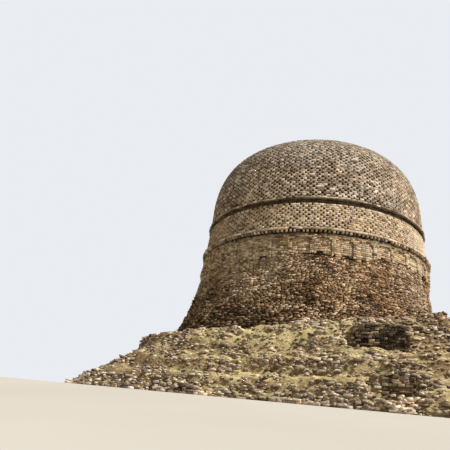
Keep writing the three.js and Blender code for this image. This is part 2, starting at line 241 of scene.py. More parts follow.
class Stones:
    """Many single stones, given by their middles, axes and half sizes.

    A dressed stone has a chamfered face, and a rough one is a chunk with all its corners uneven.
    """

    def __init__(self, centre, axes, half, tone, hue, seed, skew=0.12, chamfer=0.28, rough=False):
        count = len(centre)
        rng = seeded(seed)
        rings = 2 if rough else 3
        corners = np.zeros((count, 4 * rings, 3))
        shifts = rng.uniform(-skew, skew, (count, 4, 2)) * np.array([1.0, 0.6])
        outline = (RING + shifts) * half[:, None, :2]
        bevel = chamfer * half[:, :2].min(1)[:, None]
        corners[:, 0:4, :2] = outline * (0.85 if rough else 1.0)
        corners[:, 0:4, 2] = -half[:, 2:3]
        if rough:
            wear = 1 - rng.uniform(0, 2.0 * skew, (count, 4, 2)) * np.array([1.0, 0.5])
            corners[:, 4:8, :2] = outline * wear
            corners[:, 4:8, 2] = half[:, 2:3] * (1 - rng.uniform(0, 1.6 * skew, (count, 4)))
        else:
            tip = rng.uniform(-0.35, 0.35, (count, 4)) * bevel
            corners[:, 4:8, :2] = outline
            corners[:, 4:8, 2] = half[:, 2:3] - bevel + tip
            corners[:, 8:12, :2] = outline - RING * bevel[..., None]
            corners[:, 8:12, 2] = half[:, 2:3] + tip
        self.corners = centre[:, None, :] + np.einsum("nij,njk->nik", corners, np.stack(axes, 1))
        self.quads = ring_quads(rings)
        self.centre = centre
        self.tone = np.clip(tone, 0, 1)
        self.hue = np.clip(hue, 0, 1)

    def pick(self, solids, chosen):
        """Adds the chosen stones to some solids."""
        starts = self.corners.shape[1] * np.arange(chosen.sum())
        quads = (self.quads + starts[:, None, None]).reshape(-1, 4)
        faces = len(self.quads)
        tones = np.repeat(self.tone[chosen], faces)
        hues = np.repeat(self.hue[chosen], faces)
        solids.add(self.corners[chosen].reshape(-1, 3), quads, tones, hues)


def halves(along, up, out):
    """Half sizes of stones, each the same for all of them or one for each."""
    return np.stack(np.broadcast_arrays(along, up, out), 1)


def upright(azimuth):
    """Axes of stones laid level in a wall: along, up and out."""
    return tangent(azimuth), np.broadcast_to(UP, (len(azimuth), 3)), radial(azimuth)


def swung(first, second, angle):
    """Two axes turned from the first towards the second, in degrees."""
    cosine = np.cos(np.radians(angle))[:, None]
    sine = np.sin(np.radians(angle))[:, None]
    return first * cosine + second * sine, second * cosine - first * sine


def tumbled(azimuth, roll, tip):
    """Axes of stones turned in the face by roll and tipped forward by tip, in degrees."""
    along, up, out = upright(azimuth)
    along, up = swung(along, up, roll)
    up, out = swung(up, out, tip)
    return along, up, out


def strips(*grids):
    """Faces of strips, each given by the numbers of its four corners all along it."""
    return np.concatenate([np.stack([corner.ravel() for corner in corners], 1) for corners in grids])


def shell(outer, inner):
    """A closed slab between two grids of points that have the same rows and columns."""
    rows, columns = outer.shape[:2]
    grid = np.arange(rows * columns).reshape(rows, columns)
    back = grid + rows * columns
    quads = strips(
        (grid[:-1, :-1], grid[1:, :-1], grid[1:, 1:], grid[:-1, 1:]),
        (back[:-1, :-1], back[:-1, 1:], back[1:, 1:], back[1:, :-1]),
        (grid[0, :-1], grid[0, 1:], back[0, 1:], back[0, :-1]),
        (grid[-1, 1:], grid[-1, :-1], back[-1, :-1], back[-1, 1:]),
        (grid[1:, 0], grid[:-1, 0], back[:-1, 0], back[1:, 0]),
        (grid[:-1, -1], grid[1:, -1], back[1:, -1], back[:-1, -1]))
    return np.concatenate([outer.reshape(-1, 3), inner.reshape(-1, 3)]), quads


def bedding(solids, turns, radii, heights, inner_radii=CORE_RADIUS, inner_heights=None):
    """The dark body behind the stones: a closed slab from the core out to some radii."""
    if inner_heights is None:
        inner_heights = heights
    turns = turns[:, None]
    vertices, quads = shell(spot(turns, radii, heights), spot(turns, inner_radii, inner_heights))
    solids.add(vertices, quads, 0.1, 0.5, slot=1)


def by_quadrant(name, groups, materials, stem=None, bed=None):
    """Groups of stones as four pieces, each on its bed and in place of the CAD nodes of its quadrant."""
    pieces = []
    for side, quadrant in enumerate(QUADRANTS):
        solids = Solids()
        if bed:
            bed(solids, side)
        for stones in groups:
            stones.pick(solids, quadrant_of(stones.centre) == side)
        piece = solids.build(f"{name}_{quadrant}", materials)
        if stem:
            crown = ("dome_crown",) if (stem, quadrant) == ("dome", "front") else ()
            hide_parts(f"{stem}_{quadrant}", *crown)
        pieces.append(piece)
    return pieces


# Materials

def srgb(red, green, blue):
    """A colour in 0 to 255, as linear light."""
    def linear(value):
        share = value / 255
        return share / 12.92 if share <= 0.04045 else ((share + 0.055) / 1.055) ** 2.4
    return (linear(red), linear(green), linear(blue), 1.0)


def grey(value):
    """A slightly warm grey."""
    return (value, value * 0.985, value * 0.96, 1)


class Nodes:
    """A short way to write a node material."""

    def __init__(self, name):
        self.material = bpy.data.materials.new(name)
        self.material.use_nodes = True
        self.tree = self.material.node_tree
        self.shader = self.tree.nodes["Principled BSDF"]
        self.place = self.tree.nodes.new("ShaderNodeTexCoord").outputs["Object"]

    def feed(self, node, sources):
        """Links each input of a node to another node's output, or sets it to a plain value."""
        for label, source in sources.items():
            if isinstance(source, (int, float, tuple)):
                node.inputs[label].default_value = source
            else:
                self.tree.links.new(source, node.inputs[label])

    def node(self, kind, output, sources, **settings):
        """One output of a new node."""
        node = self.tree.nodes.new("ShaderNode" + kind)
        for label, value in settings.items():
            setattr(node, label, value)
        self.feed(node, sources)
        return node.outputs[output]

    def noise(self, scale, detail=4.0, roughness=0.55, stretch=(1, 1, 1)):
        place = self.node("Mapping", "Vector", {"Scale": stretch, "Vector": self.place})
        sources = {"Scale": scale, "Detail": detail, "Roughness": roughness, "Vector": place}
        return self.node("TexNoise", "Fac", sources)

    def attribute(self, label):
        return self.node("Attribute", "Fac", {}, attribute_name=label)

    def ramp(self, source, stops):
        node = self.tree.nodes.new("ShaderNodeValToRGB")
        elements = node.color_ramp.elements
        while len(elements) < len(stops):
            elements.new(0.5)
        for element, (position, colour) in zip(elements, stops):
            element.position = position
            element.color = colour
        self.feed(node, {"Fac": source})
        return node.outputs["Color"]

    def range(self, source, low, high, to_low=0.0, to_high=1.0):
        sources = {"Value": source, "From Min": low, "From Max": high, "To Min": to_low, "To Max": to_high}
        return self.node("MapRange", "Result", sources)

    def mix(self, factor, first, second, kind="MIX"):
        sources = {"Factor": factor, "A": first, "B": second}
        return self.node("Mix", "Result", sources, data_type="RGBA", blend_type=kind)

    def height(self):
        return self.node("SeparateXYZ", "Z", {"Vector": self.place})

    def slope(self):
        """1 where the surface lies level, 0 where it is upright."""
        normal = self.node("NewGeometry", "True Normal", {})
        return self.node("SeparateXYZ", "Z", {"Vector": normal})

    def sum(self, first, second):
        return self.node("Math", "Value", {0: first, 1: second}, operation="ADD")

    def bump(self, source, strength, distance):
        sources = {"Strength": strength, "Distance": distance, "Height": source}
        self.feed(self.shader, {"Normal": self.node("Bump", "Normal", sources)})

    def finish(self, colour, roughness=0.92, specular=0.25):
        sources = {"Base Color": colour, "Roughness": roughness, "Specular IOR Level": specular}
        self.feed(self.shader, sources)
        return self.material


def stone_material(name, *colours, weather_from=None):
    """Single stones: a tone and a rusty hue for each, patches of lichen, stains, and fine grain."""
    nodes = Nodes(name)
    dark, middle, light, lichen, rust = (srgb(*colour) for colour in colours)
    colour = nodes.ramp(nodes.attribute("tone"), [(0.0, dark), (0.5, middle), (1.0, light)])
    rusty = nodes.mix(1.0, colour, rust, "MULTIPLY")
    colour = nodes.mix(nodes.range(nodes.attribute("hue"), 0.6, 1.0, 0.0, 0.65), colour, rusty)
    colour = nodes.mix(nodes.range(nodes.noise(0.21, 3.0), 0.45, 0.62, 0.0, 0.4), colour, rusty)
    colour = nodes.mix(nodes.range(nodes.noise(0.6, 5.0, 0.65), 0.52, 0.7, 0.0, 0.45), colour, lichen)
    if weather_from:
        low, high, most = weather_from
        colour = nodes.mix(nodes.range(nodes.height(), low, high, 0.0, most), colour, lichen)
    stain = nodes.ramp(nodes.noise(1.3, 4.0, 0.6, (1, 1, 0.45)), [(0.3, grey(0.72)), (0.55, grey(1.0))])
    colour = nodes.mix(1.0, colour, stain, "MULTIPLY")
    grain = [(0.28, grey(0.62)), (0.5, grey(1.0)), (0.8, grey(1.25))]
    colour = nodes.mix(1.0, colour, nodes.ramp(nodes.noise(9.0, 6.0, 0.65), grain), "MULTIPLY")
    nodes.bump(nodes.noise(14.4, 5.0, 0.6), 0.55, 0.03)
    return nodes.finish(colour)


def mortar_material(name, dark, light):
    """Dark earth mortar and packing deep in the joints."""
    nodes = Nodes(name)
    colour = nodes.ramp(nodes.noise(3.0, 6.0, 0.7), [(0.3, dark), (0.75, light)])
    nodes.bump(nodes.noise(7.0, 6.0, 0.7), 0.8, 0.06)
    return nodes.finish(colour, 0.97, 0.1)


def earth_material(name):
    """Dry earth: straw-coloured where grass has dried on it, brown where bare, with green tints."""
    nodes = Nodes(name)
    straw = nodes.ramp(nodes.noise(0.8, 5.0, 0.62), [
        (0.3, srgb(184, 163, 113)), (0.5, srgb(216, 197, 147)), (0.7, srgb(195, 180, 127))])
    green = nodes.range(nodes.noise(0.5, 5.0, 0.6, (1, 1, 1.7)), 0.45, 0.66, 0.0, 0.6)
    straw = nodes.mix(green, straw, srgb(146, 140, 94))
    bare = nodes.ramp(nodes.noise(2.2, 6.0, 0.7, (1, 1, 2.0)), [
        (0.3, srgb(86, 68, 47)), (0.7, srgb(176, 151, 112))])
    share = nodes.sum(nodes.noise(1.5, 6.0, 0.7, (1, 1, 2.4)), nodes.attribute("tone"))
    share = nodes.sum(share, nodes.range(nodes.slope(), 0.3, 0.85, -0.12, 0.12))
    colour = nodes.mix(nodes.range(share, 0.8, 1.06), bare, straw)
    fine = nodes.noise(6.5, 6.0, 0.75, (1, 1, 2.0))
    shade = nodes.ramp(fine, [(0.3, grey(0.38)), (0.46, grey(0.95)), (0.75, grey(1.3))])
    colour = nodes.mix(1.0, colour, shade, "MULTIPLY")
    nodes.bump(nodes.noise(4.0, 8.0, 0.75, (1, 1, 1.8)), 0.9, 0.12)
    return nodes.finish(colour, 0.97, 0.15)


# Colours of dark, middling and light stones, then of lichen and of rust
RUST = (243, 222, 194)
DIAPER = stone_material(
    "diaper_blocks", (92, 76, 58), (190, 171, 146), (240, 226, 203), (168, 157, 140), RUST)
DOME = stone_material(
    "dome_blocks", (70, 57, 46), (160, 143, 125), (240, 229, 213), (120, 116, 112), RUST,
    weather_from=(DOME_FOOT + 2.0, DOME_TOP - 1.0, 0.5))
FACING = stone_material(
    "facing_slabs", (92, 77, 58), (180, 161, 134), (238, 221, 194), (168, 155, 134), (244, 226, 200))
SLABS = stone_material(
    "schist_slabs", (70, 58, 44), (160, 144, 122), (236, 224, 204), (148, 140, 124), RUST)
RUBBLE = stone_material(
    "rubble_stones", (62, 47, 34), (166, 142, 113), (246, 230, 206), (138, 125, 111), (244, 214, 180))
LOOSE = stone_material(
    "loose_stones", (60, 48, 38), (162, 146, 127), (244, 232, 216), (156, 147, 134), RUST)
MORTAR = mortar_material("joint_mortar", srgb(36, 26, 17), srgb(74, 57, 39))
RUBBLE_BED = mortar_material("rubble_mortar", srgb(46, 35, 23), srgb(100, 80, 56))
EARTH = earth_material("dry_earth")


# Diaper masonry of dome and upper wall

# How stones are laid: depth, how far their faces stand off the wall, share of the course that they fill,
# joint beside them, middle and spread of their tone, how much lighter they are painted on the sunlit side
# (painted light; below zero, painted shade), and whether they are rough chunks
Laid = namedtuple("Laid", "depth face fill joint tone spread fresh rough")
# Worn-back chips are given a tone near black: painted shade in the hollows between the blocks
LOST_CHIPS = Laid(0.14, (-0.17, -0.1), (0.5, 0.95), 0.02, 0.05, 0.07, 0.0, True)
FLUSH_CHIPS = Laid(0.2, (-0.05, 0.0), (0.8, 0.97), 0.012, 0.5, 0.18, 0.1, True)
DOME_BLOCKS = Laid(0.24, (-0.03, 0.015), (0.84, 1.0), 0.014, 0.7, 0.2, -0.12, False)
WALL_BLOCKS = Laid(0.24, (-0.03, 0.012), (0.88, 1.0), 0.009, 0.62, 0.18, 0.2, False)


class Profile:
    """The outline of a round wall: radius, height and outward normal by the length along it."""

    def __init__(self, radius, height):
        along = np.concatenate([[0], np.cumsum(np.hypot(np.diff(radius), np.diff(height)))])
        self.length = along[-1]
        self.at = np.linspace(0, self.length, 241)
        r = np.interp(self.at, along, radius)
        z = np.interp(self.at, along, height)
        dr = np.gradient(r, self.at)
        dz = np.gradient(z, self.at)
        size = np.hypot(dr, dz)
        self.values = (r, z, dz / size, -dr / size)

    def __call__(self, level):
        return tuple(np.interp(level, self.at, values) for values in self.values)


def dome_profile():
    """A blunt dome, as a superellipse."""
    turn = np.linspace(0, math.pi / 2, 4001)
    power = 2 / DOME_BLUNTNESS
    radius = DOME_RADIUS * np.cos(turn) ** power
    radius[-1] = 0
    return Profile(radius, DOME_FOOT + (DOME_TOP - DOME_FOOT) * np.sin(turn) ** power)


def wall_profile():
    return Profile(np.array([WALL_RADIUS, WALL_RADIUS - WALL_BATTER]), np.array([WALL_LOW, FRIEZE_LOW]))


def diaper_cells(profile, seed, narrowest, widest):
    """Courses of blocks with a stack of small chips beside each, staggered from course to course."""
    rng = seeded(seed)
    courses = int(round(profile.length / COURSE))
    height = profile.length / courses
    blocks = []
    chips = []
    for k in range(courses):
        level = (k + 0.5) * height
        cells = max(int(round(2 * math.pi * float(profile(level)[0]) / BLOCK_PITCH)), 4)
        turn = 360 / cells
        share = 0.5 * (k % 2) + rng.uniform(-0.07, 0.07)
        for j in range(cells):
            azimuth = (j + share) * turn + rng.normal(0, 0.03) * turn
            width = rng.uniform(narrowest, widest)
            if rng.uniform() < 0.09:
                blocks.append((azimuth + 0.5 * (1 - width) * turn, level, 0.97 * turn, height))
            else:
                blocks.append((azimuth, level, width * turn, height))
                chips.append((azimuth + 0.5 * turn, level, (1 - width) * turn, height))
    return np.array(blocks), np.array(chips)


def diaper_stones(profile, cells, seed, laid):
    """Stones for the cells of a diaper wall."""
    rng = seeded(seed)
    azimuth, level, turn, height = cells.T
    count = len(level)
    radius, z, out_r, out_z = profile(level + rng.normal(0, 0.007, count))
    width = np.maximum(np.radians(turn) * radius / 2 - laid.joint, 0.025)
    half = halves(width, height / 2 * rng.uniform(*laid.fill, count), laid.depth / 2)
    ray = radial(azimuth)
    out = ray * out_r[:, None] + UP * out_z[:, None]
    rise = -ray * out_z[:, None] + UP * out_r[:, None]
    centre = spot(azimuth, radius, z) + out * (rng.uniform(*laid.face, count) - laid.depth / 2)[:, None]
    patch = 0.09 * wander(centre, seed + 2, 3.5) + 0.05 * wander(centre, seed + 3, 1.0)
    # Painted shade darkens the stones on the side away from the sun; on the sunlit side painted light
    # shifts their tone and evens it out
    side = radial(azimuth) @ SHADED_SIDE
    sunlit = np.clip(-side, 0, 1)
    painted_shade = 0.22 * np.clip(side, 0, 1) ** 2 - laid.fresh * sunlit ** 2
    spread = laid.spread * (1 - 0.45 * sunlit)
    tone = rng.normal(laid.tone, spread, count) + patch * (1 - 0.4 * sunlit) - painted_shade
    hue = rng.uniform(0, 1, count) + 0.1 * wander(centre, seed + 4, 4.0)
    axes = (tangent(azimuth), rise, out)
    return Stones(centre, axes, half, tone, hue, seed + 1, skew=0.13, rough=laid.rough)


def diaper_band(name, stem, stone, profile, seed, laid, widths, kept_share):
    """One band of diaper masonry, with some of its chips still flush and the others worn back."""
    block_cells, chip_cells = diaper_cells(profile, seed, *widths)
    exposed = radial(chip_cells[:, 0]) @ SHADED_SIDE
    kept = seeded(seed + 30).uniform(size=len(chip_cells)) < kept_share * (1.1 - 1.1 * exposed)
    groups = (
        diaper_stones(profile, block_cells, seed + 10, laid),
        diaper_stones(profile, chip_cells[~kept], seed + 40, LOST_CHIPS),
        diaper_stones(profile, chip_cells[kept], seed + 50, FLUSH_CHIPS),
    )
    radius, z, out_r, out_z = profile(np.linspace(0, profile.length, 41))
    outer_r = np.maximum(radius - JOINT_DEPTH * out_r, 0.02)
    outer_z = z - JOINT_DEPTH * out_z
    inner_r = np.maximum(outer_r - (radius.max() - CORE_RADIUS), 0.01)
    inner_z = outer_z - np.where(outer_r - inner_r < 0.5, 0.6, 0.0) * (out_z > 0.3)

    def bed(solids, side):
        bedding(solids, span(side, 25), outer_r[None], outer_z[None], inner_r[None], inner_z[None])

    by_quadrant(name, groups, (stone, MORTAR), stem, bed)


diaper_band("dome_masonry", "dome", DOME, dome_profile(), 100, DOME_BLOCKS,
            widths=(0.6, 0.76), kept_share=0.2)
diaper_band("upper_masonry", "upper_wall", DIAPER, wall_profile(), 200, WALL_BLOCKS,
            widths=(0.66, 0.82), kept_share=0.36)


# Rings of slabs

def ring_stones(seed, low, high, radius, widths, tones,
                depth=0.4, joint=0.008, uneven=0.03, lost=0.0, skew=0.1):
    """One course of slabs round the drum, with uneven widths and faces."""
    rng = seeded(seed)
    cells = []
    azimuth = rng.uniform(0, 2)
    end = azimuth + 360
    while azimuth < end - 0.6:
        turn = min(math.degrees(rng.uniform(*widths) / radius), end - azimuth)
        if rng.uniform() >= lost:
            cells.append((azimuth + turn / 2, turn))
        azimuth += turn
    middle, turn = np.array(cells).T
    count = len(middle)
    face = radius + rng.uniform(-uneven, uneven * 0.4, count)
    tall = (high - low) / 2 * rng.uniform(0.84, 1.0, count)
    half = halves(np.radians(turn) * radius / 2 - joint, tall, depth / 2)
    centre = spot(middle, face - depth / 2, (low + high) / 2 + rng.normal(0, 0.006, count))
    tone = rng.normal(*tones, count)
    hue = rng.uniform(0, 1, count)
    return Stones(centre, upright(middle), half, tone, hue, seed + 1, skew=skew, chamfer=0.22)


def ring_pieces(name, stem, stone, courses, beds):
    """A ring of slabs, with the mortar behind them as (radius, low, high) for each step."""
    def bed(solids, side):
        for radius, low, high in beds:
            bedding(solids, span(side, 25), np.array([[radius, radius]]), np.array([[low, high]]))

    by_quadrant(name, courses, (stone, MORTAR), stem, bed)


def string_course():
    """Projecting slabs over a frieze of small stones; the frieze and the slabs' lower course get dark
    tones, painted shade under the slabs.
    """
    ledge = STRING_LOW + 0.07
    middle = (FRIEZE_LOW + STRING_LOW) / 2
    courses = (
        ring_stones(300, FRIEZE_LOW, middle, FRIEZE_RADIUS, (0.2, 0.45), (0.1, 0.08)),
        ring_stones(304, middle, STRING_LOW, FRIEZE_RADIUS - 0.04, (0.2, 0.45), (0.04, 0.05)),
        ring_stones(308, STRING_LOW, ledge, STRING_RADIUS - 0.07, (0.3, 0.6), (0.14, 0.1)),
        ring_stones(312, ledge, DOME_FOOT, STRING_RADIUS + 0.02, (0.4, 0.8), (0.56, 0.2),
                    depth=0.5, joint=0.01, uneven=0.06, lost=0.03),
    )
    beds = (
        (FRIEZE_RADIUS - 0.1, FRIEZE_LOW, STRING_LOW),
        (STRING_RADIUS - 0.2, STRING_LOW, DOME_FOOT - 0.03),
    )
    ring_pieces("string_slabs", "string_course", SLABS, courses, beds)


def modillions(seed):
    """The short brackets under the slabs, five to a bay, a few of them lost."""
    rng = seeded(seed)
    azimuth = FIRST_PILASTER + MODILLION_PITCH * np.arange(int(round(360 / MODILLION_PITCH)))
    azimuth = azimuth[rng.uniform(size=len(azimuth)) > 0.05]
    count = len(azimuth)
    azimuth = azimuth + rng.normal(0, 0.09, count)
    depth = 0.5
    face = CORNICE_RADIUS - 0.06 + rng.uniform(-0.05, 0.02, count)
    wide = MODILLION_WIDTH / 2 * rng.uniform(0.8, 1.1, count)
    tall = (MODILLION_HIGH - MODILLION_LOW) / 2 * rng.uniform(0.85, 1.0, count)
    half = halves(wide, tall, depth / 2)
    centre = spot(azimuth, face - depth / 2, (MODILLION_LOW + MODILLION_HIGH) / 2)
    tone = rng.normal(0.52, 0.24, count)
    hue = rng.uniform(0, 1, count)
    return Stones(centre, upright(azimuth), half, tone, hue, seed + 1, skew=0.14, chamfer=0.4)


def cornice():
    """A row of modillions that carries a course of slabs."""
    courses = (
        modillions(320),
        ring_stones(324, MODILLION_HIGH, WALL_LOW, CORNICE_RADIUS, (0.35, 0.75), (0.74, 0.2),
                    depth=0.6, joint=0.01, uneven=0.06, lost=0.04),
    )
    beds = (
        (CORNICE_RADIUS - 0.3, CORNICE_LOW, MODILLION_HIGH),
        (CORNICE_RADIUS - 0.2, MODILLION_HIGH, WALL_LOW - 0.03),
    )
    ring_pieces("cornice_stones", "cornice", SLABS, courses, beds)


def architrave():
    """Three courses of small stones with dark tones that deepen towards the top: painted shade under the
    cornice.
    """
    edges = np.linspace(ARCHITRAVE_LOW, CORNICE_LOW, 4)
    courses = [
        ring_stones(330 + 4 * k, edges[k], edges[k + 1], ARCHITRAVE_RADIUS - 0.04 * k, (0.15, 0.45),
                    (0.34 - 0.1 * k, 0.17), depth=0.35, joint=0.01, uneven=0.05, lost=0.02, skew=0.16)
        for k in range(3)]
    beds = ((ARCHITRAVE_RADIUS - 0.12, ARCHITRAVE_LOW, CORNICE_LOW),)
    ring_pieces("architrave_stones", "architrave", FACING, courses, beds)


string_course()
cornice()
architrave()


# Facing with pilasters, down to its broken edge

def tree_of(pieces):
    """A tree for rays against some objects."""
    vertices = []
    faces = []
    for piece in pieces:
        start = len(vertices)
        vertices += [piece.matrix_world @ vertex.co for vertex in piece.data.vertices]
        faces += [[start + corner for corner in face.vertices] for face in piece.data.polygons]
    return BVHTree.FromPolygons(vertices, faces)


def cad_tree(stem):
    """A tree for rays against the four CAD nodes of a ring."""
    return tree_of([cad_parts[f"{stem}_{quadrant}"] for quadrant in QUADRANTS])


FACING_TREE = cad_tree("panel_band")
RUBBLE_TREE = cad_tree("rubble_band")
PODIUM_TREE = cad_tree("podium")


def face_from(tree, azimuths, heights, missed):
    """The radius at which a level ray from outside meets a CAD band."""
    radii = []
    for ray, z in zip(radial(azimuths), heights):
        hit = tree.ray_cast(Vector(ray * FAR + UP * z), Vector(-ray))[0]
        radii.append(math.hypot(hit.x, hit.y) if hit else missed)
    return np.array(radii)


def broken_edge(azimuths):
    """The height of the facing's underside at each azimuth."""
    heights = []
    for ray in radial(azimuths):
        hit = FACING_TREE.ray_cast(Vector(ray * (PANEL_RADIUS - 0.2) + UP * DRUM_FOOT), Vector(UP))[0]
        heights.append(hit.z if hit else ARCHITRAVE_LOW - 1.6)
    return np.array(heights)


EDGE_AZIMUTHS = np.arange(0, 360, 0.5) + 0.13
EDGE_HEIGHTS = broken_edge(EDGE_AZIMUTHS)


def edge_at(azimuth):
    """The height of the facing's broken edge."""
    return np.interp(azimuth % 360, EDGE_AZIMUTHS, EDGE_HEIGHTS, period=360)


def facing_cells(rng):
    """Cells of the facing's thin courses as azimuth, height, width, height of the course and how proud."""
    cells = []
    level = ARCHITRAVE_LOW
    while level > EDGE_HEIGHTS.min() - 0.1:
        course = rng.uniform(0.14, 0.22)
        width = CAP_WIDTH if level > ARCHITRAVE_LOW - CAP_HEIGHT + 0.02 else PILASTER_WIDTH
        reach = math.degrees(width / 2 / PANEL_RADIUS)
        for bay in range(int(round(360 / BAY))):
            centre = FIRST_PILASTER + bay * BAY
            split = rng.uniform(0.3, 0.7) if rng.uniform() < 0.6 else 1.0
            for start, share in ((0.0, split), (split, 1.0 - split)):
                if share > 0:
                    turn = centre + reach * (2 * start + share - 1)
                    cells.append((turn, level - course / 2, width * share, course, PILASTER_PROUD))
            azimuth = centre + reach
            end = centre + BAY - reach
            while azimuth < end - 0.05:
                step = min(math.degrees(rng.uniform(0.2, 0.55) / PANEL_RADIUS), end - azimuth)
                if end - azimuth - step < 0.5:
                    step = end - azimuth
                length = math.radians(step) * PANEL_RADIUS
                cells.append((azimuth + step / 2, level - course / 2, length, course, 0.0))
                azimuth += step
        level -= course
    return np.array(cells)


def facing():
    """The thin facing with its pilasters, down to a ragged edge."""
    rng = seeded(400)
    azimuth, z, width, course, proud = facing_cells(rng).T
    ragged = 0.12 * wander(spot(azimuth, PANEL_RADIUS, z), 401, 0.9) + rng.uniform(-0.12, 0.16, len(z))
    kept = z - course / 2 > edge_at(azimuth) + ragged
    azimuth, z, width, course, proud = (v[kept] for v in (azimuth, z, width, course, proud))
    count = len(z)
    depth = 0.34
    half = halves(width / 2 - 0.014, course / 2 * rng.uniform(0.7, 0.9, count), depth / 2)
    face = PANEL_RADIUS + proud + rng.uniform(-0.035, 0.012, count)
    centre = spot(azimuth, face - depth / 2, z)
    # Stones on the side away from the sun are painted darker: painted shade
    shaded = np.clip(radial(azimuth) @ SHADED_SIDE, 0, 1)
    tone = rng.normal(0.66, 0.24, count) + 0.08 * wander(centre, 403, 2.0) - 0.12 * shaded
    hue = rng.uniform(0, 1, count)
    stones = Stones(centre, upright(azimuth), half, tone, hue, 402, skew=0.13, chamfer=0.22)

    def bed(solids, side):
        turns = span(side, 181)
        low = edge_at(turns)[:, None] + 0.05
        heights = low + (ARCHITRAVE_LOW - low) * np.linspace(0, 1, 3)
        bedding(solids, turns, PANEL_RADIUS - 0.13, heights)

    by_quadrant("facing", (stones,), (FACING, MORTAR), "panel_band", bed)


facing()


# Spalled rubble of the lower drum

# Heights between which the rubble changes from rough at the foot to fine under the facing
RUBBLE_ZONES = [5.6, 6.8, 9.5, 11.0]
GRID_STEP = 2.0
GRID_AZIMUTHS = np.arange(0, 360, GRID_STEP) + 0.07
GRID_HEIGHTS = np.linspace(DRUM_FOOT + 0.02, EDGE_HEIGHTS.min() - 0.06, 16)


def rubble_grid():
    """The radius of the CAD rubble on a grid of azimuths and heights."""
    azimuth, z = np.meshgrid(GRID_AZIMUTHS, GRID_HEIGHTS, indexing="ij")
    return face_from(RUBBLE_TREE, azimuth.ravel(), z.ravel(), 0.0).reshape(z.shape)


GRID_RADII = rubble_grid()


def cad_rubble(azimuth, z):
    """The radius of the CAD rubble between the points of the grid."""
    column = (azimuth - GRID_AZIMUTHS[0]) % 360 / GRID_STEP
    left = np.floor(column).astype(int) % len(GRID_AZIMUTHS)
    right = (left + 1) % len(GRID_AZIMUTHS)
    across = column - np.floor(column)
    row = np.clip((z - GRID_HEIGHTS[0]) / (GRID_HEIGHTS[1] - GRID_HEIGHTS[0]), 0, len(GRID_HEIGHTS) - 1.001)
    below = np.floor(row).astype(int)
    up = row - below
    low = GRID_RADII[left, below] * (1 - across) + GRID_RADII[right, below] * across
    high = GRID_RADII[left, below + 1] * (1 - across) + GRID_RADII[right, below + 1] * across
    return low * (1 - up) + high * up


def rubble_face(azimuth, z):
    """The rubble's face with swells, hollows low down, and in places a recess under the broken edge."""
    points = spot(azimuth, RUBBLE_RADIUS, z)
    swell = 0.08 * wander(points, 501, 2.4) + 0.04 * wander(points, 502, 0.9)
    hollow = np.clip(wander(points, 503, 1.5, 1.8) - 0.35, 0, 1) * np.interp(z, [6.0, 9.5], [1.0, 0.3])
    near_edge = np.exp(-np.maximum(edge_at(azimuth) - z, 0) / 0.25)
    recess = near_edge * np.clip(wander(points, 504, 3.5, 0.3), 0, 1)
    return cad_rubble(azimuth, z) + swell - 0.45 * hollow - 0.2 * recess


def rubble_cells(rng):
    """Cells of the rubble: fine under the facing, with larger and rougher stones towards the foot."""
    cells = []
    z = DRUM_FOOT + 0.05
    while z < EDGE_HEIGHTS.max() + 0.1:
        height = float(np.interp(z, RUBBLE_ZONES, [0.19, 0.15, 0.12, 0.11])) * rng.uniform(0.8, 1.2)
        longest = float(np.interp(z, RUBBLE_ZONES, [0.8, 0.56, 0.46, 0.5]))
        azimuth = rng.uniform(0, 1)
        while azimuth < 360:
            width = rng.uniform(0.35, 1.0) * longest
            turn = math.degrees(width / (RUBBLE_RADIUS + 0.3))
            cells.append((azimuth + turn / 2, z + height / 2, width, height))
            azimuth += turn * rng.uniform(1.0, 1.1)
        z += height
    return np.array(cells)


